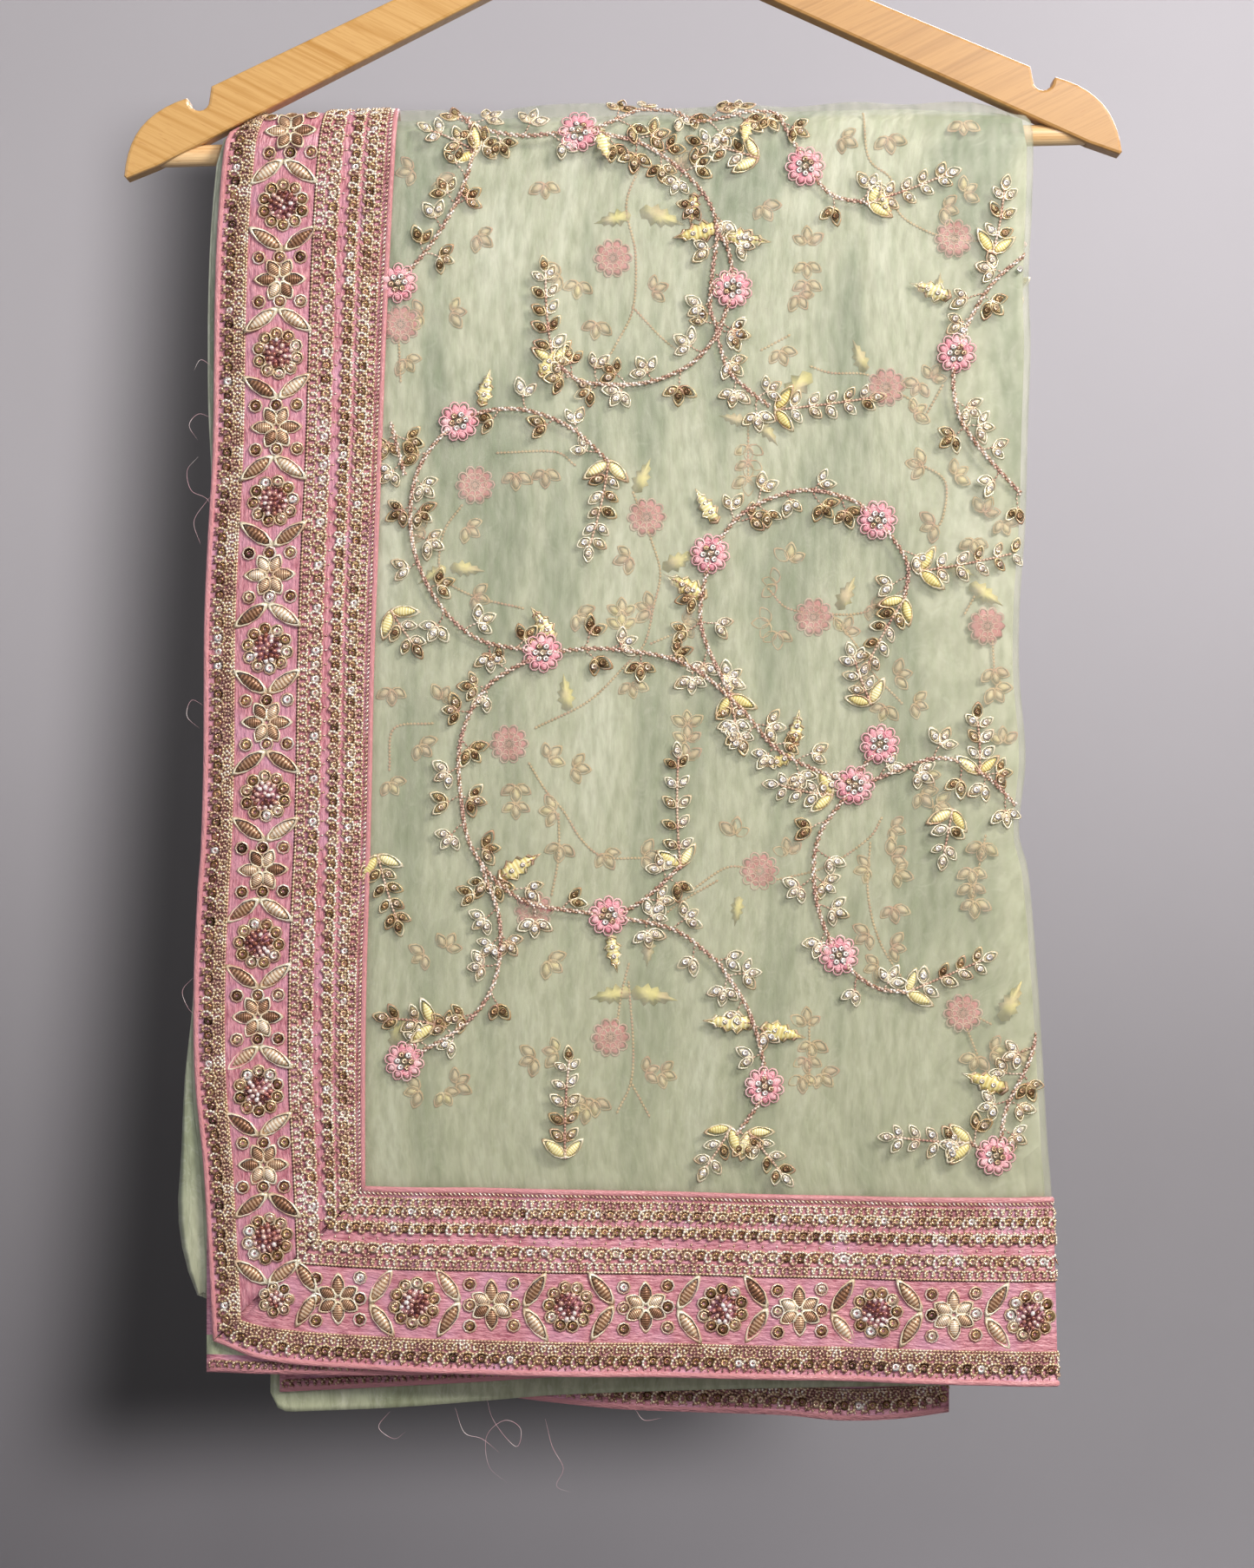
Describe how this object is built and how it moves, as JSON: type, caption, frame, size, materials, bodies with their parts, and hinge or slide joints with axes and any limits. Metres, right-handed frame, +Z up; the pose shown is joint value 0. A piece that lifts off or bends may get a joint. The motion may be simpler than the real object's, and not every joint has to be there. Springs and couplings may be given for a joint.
{
  "type": "saree folded on a wooden hanger",
  "caption": "Sheer embroidered saree with a wide metallic border, folded lengthwise into a bundle and hung over the round bar of a flat wooden hanger.",
  "frame": {"origin": "top of the inside of the hanger's hook, where a rail holds it", "axes": "+X to the viewer's right along the bar, +Y away from the viewer through the bundle, +Z up"},
  "size_m": [0.4439, 0.0407, 0.7496],
  "materials": {
    "sage_organza": "sheer crisp organza with a soft sheen, embroidered in rose and pale gold",
    "rose_zari_border": "satin covered with sequins, zari chain stitch and padded petals",
    "varnished_wood": "satin varnish",
    "plated_steel": "bright plating"
  },
  "bodies": {
    "root": {"hanger_arm_left": "varnished_wood", "hanger_arm_right": "varnished_wood", "hanger_bar": "varnished_wood", "hanger_hook": "plated_steel", "field_front": "sage_organza", "field_back": "sage_organza", "side_border_front": "rose_zari_border", "side_border_back": "rose_zari_border", "hem_border_front": "rose_zari_border", "hem_border_back": "rose_zari_border", "folded_layers": "sage_organza", "hem_layer_2": "rose_zari_border", "hem_layer_3": "rose_zari_border", "organza_layer_4": "sage_organza", "hem_layer_5": "rose_zari_border"}
  },
  "joints": []
}
